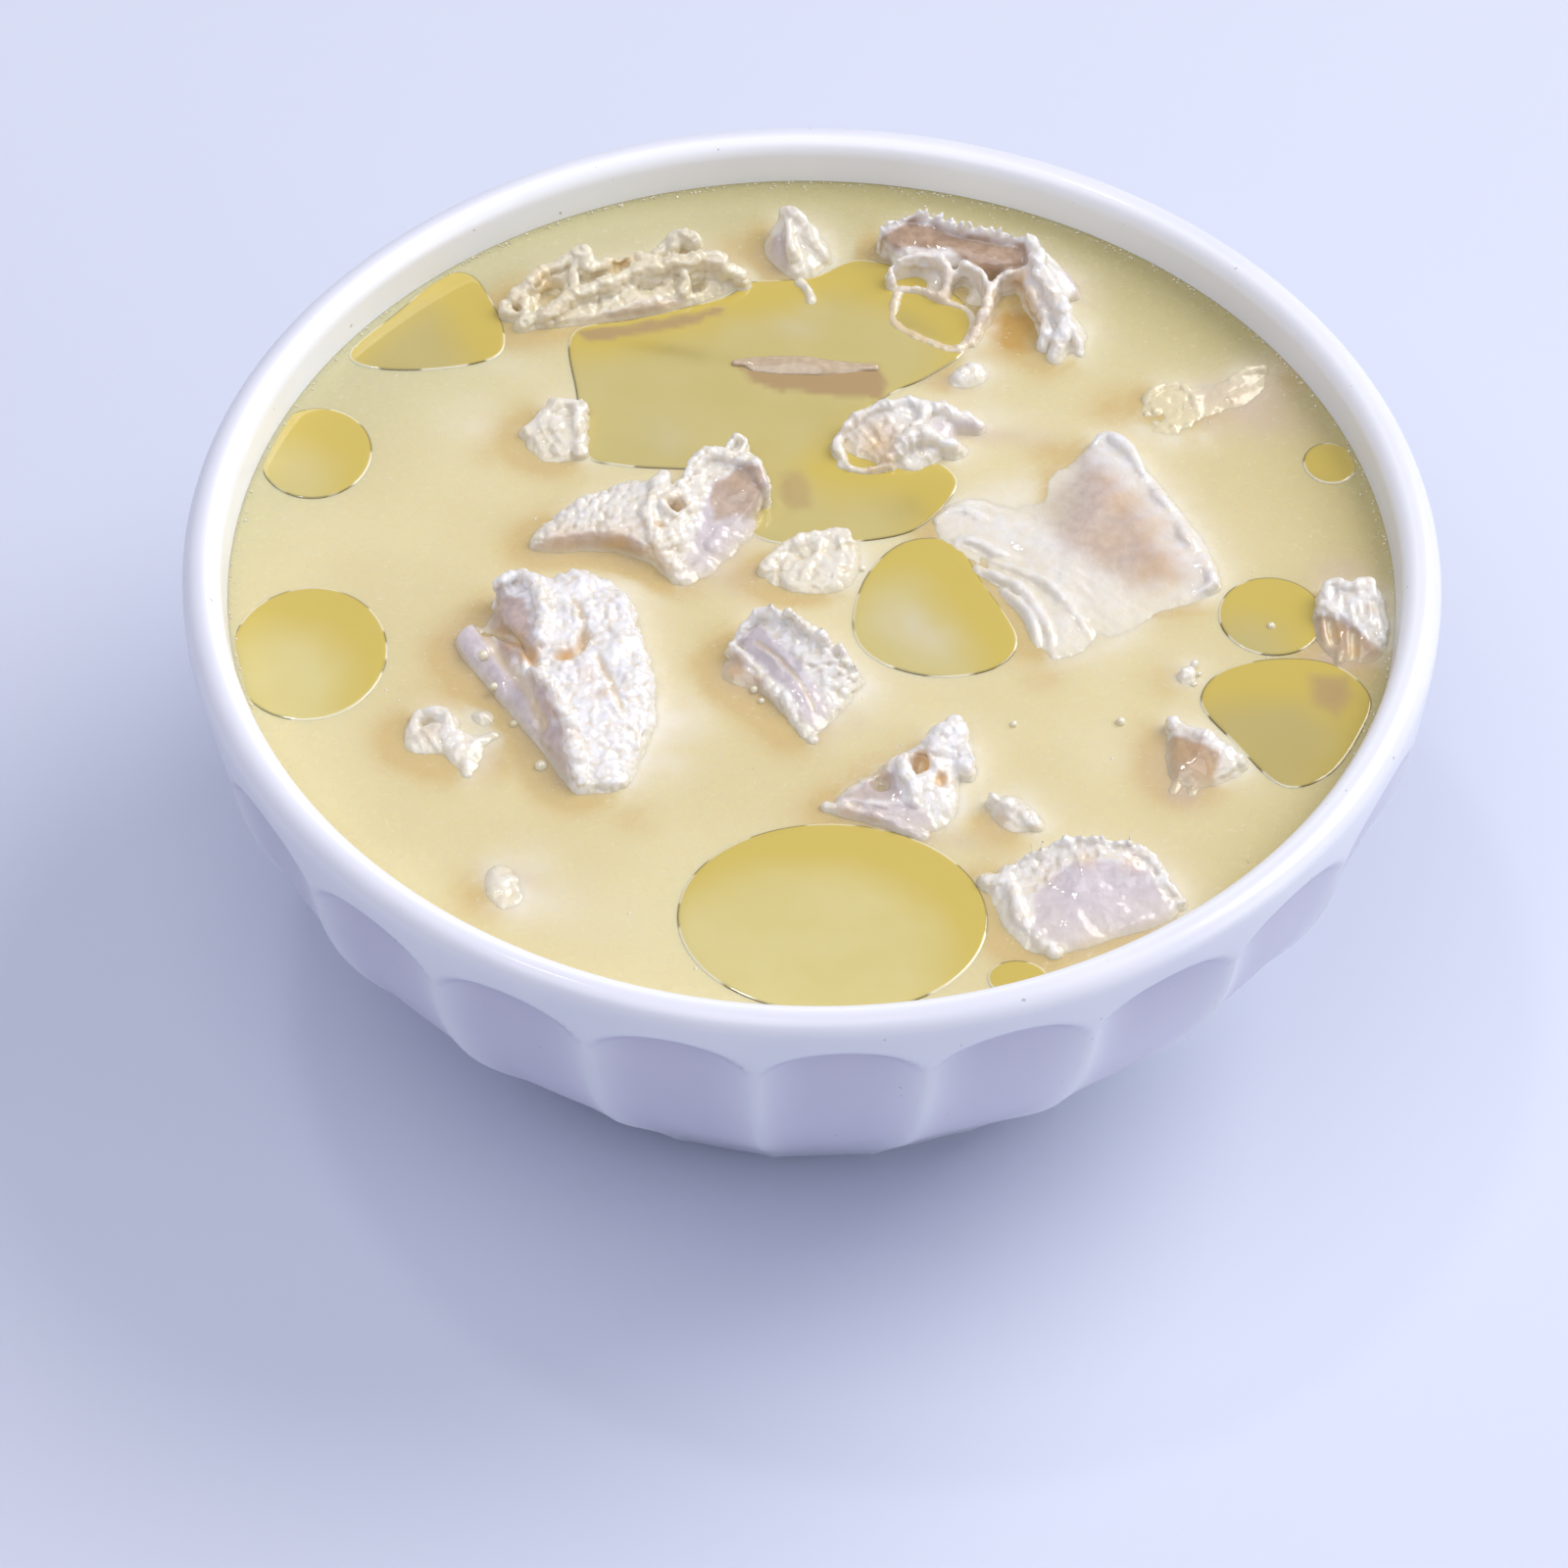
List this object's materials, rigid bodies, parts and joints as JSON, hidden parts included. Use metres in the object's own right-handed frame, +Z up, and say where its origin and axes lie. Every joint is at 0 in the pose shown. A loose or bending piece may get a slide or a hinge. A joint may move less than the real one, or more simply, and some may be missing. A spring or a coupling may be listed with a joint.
{
  "type": "bowl of tripe soup",
  "caption": "White fluted porcelain bowl filled with creamy soup, with pieces of tripe standing out of it and pools of clear yellow oil on its surface.",
  "frame": {"origin": "on the bowl's axis, on the plane that its foot stands on", "axes": "+Z up along the bowl's axis, -Y towards the front, the side that the picture shows nearest"},
  "size_m": [0.15, 0.15, 0.062],
  "materials": {
    "porcelain": "smooth glossy white glaze",
    "soup": "opaque creamy yellow liquid with a wet sheen",
    "tripe": "wet cooked tripe, cream white with greyish pink cut faces",
    "oil": "clear yellow oil floating on the soup"
  },
  "bodies": {
    "root": {"bowl": "porcelain", "soup": "soup", "tripe_01": "tripe", "tripe_02": "tripe", "tripe_03": "tripe", "tripe_04": "tripe", "tripe_05": "tripe", "tripe_06": "tripe", "tripe_07": "tripe", "tripe_08": "tripe", "tripe_09": "tripe", "tripe_10": "tripe", "tripe_11": "tripe", "tripe_12": "tripe", "tripe_13": "tripe", "tripe_14": "tripe", "tripe_15": "tripe", "tripe_16": "tripe", "tripe_17": "tripe", "tripe_18": "tripe", "tripe_19": "tripe", "tripe_20": "tripe", "tripe_21": "tripe", "tripe_22": "tripe", "oil_01": "oil", "oil_02": "oil", "oil_03": "oil", "oil_04": "oil", "oil_05": "oil", "oil_06": "oil", "oil_07": "oil", "oil_08": "oil", "oil_09": "oil", "oil_10": "oil"}
  },
  "joints": []
}
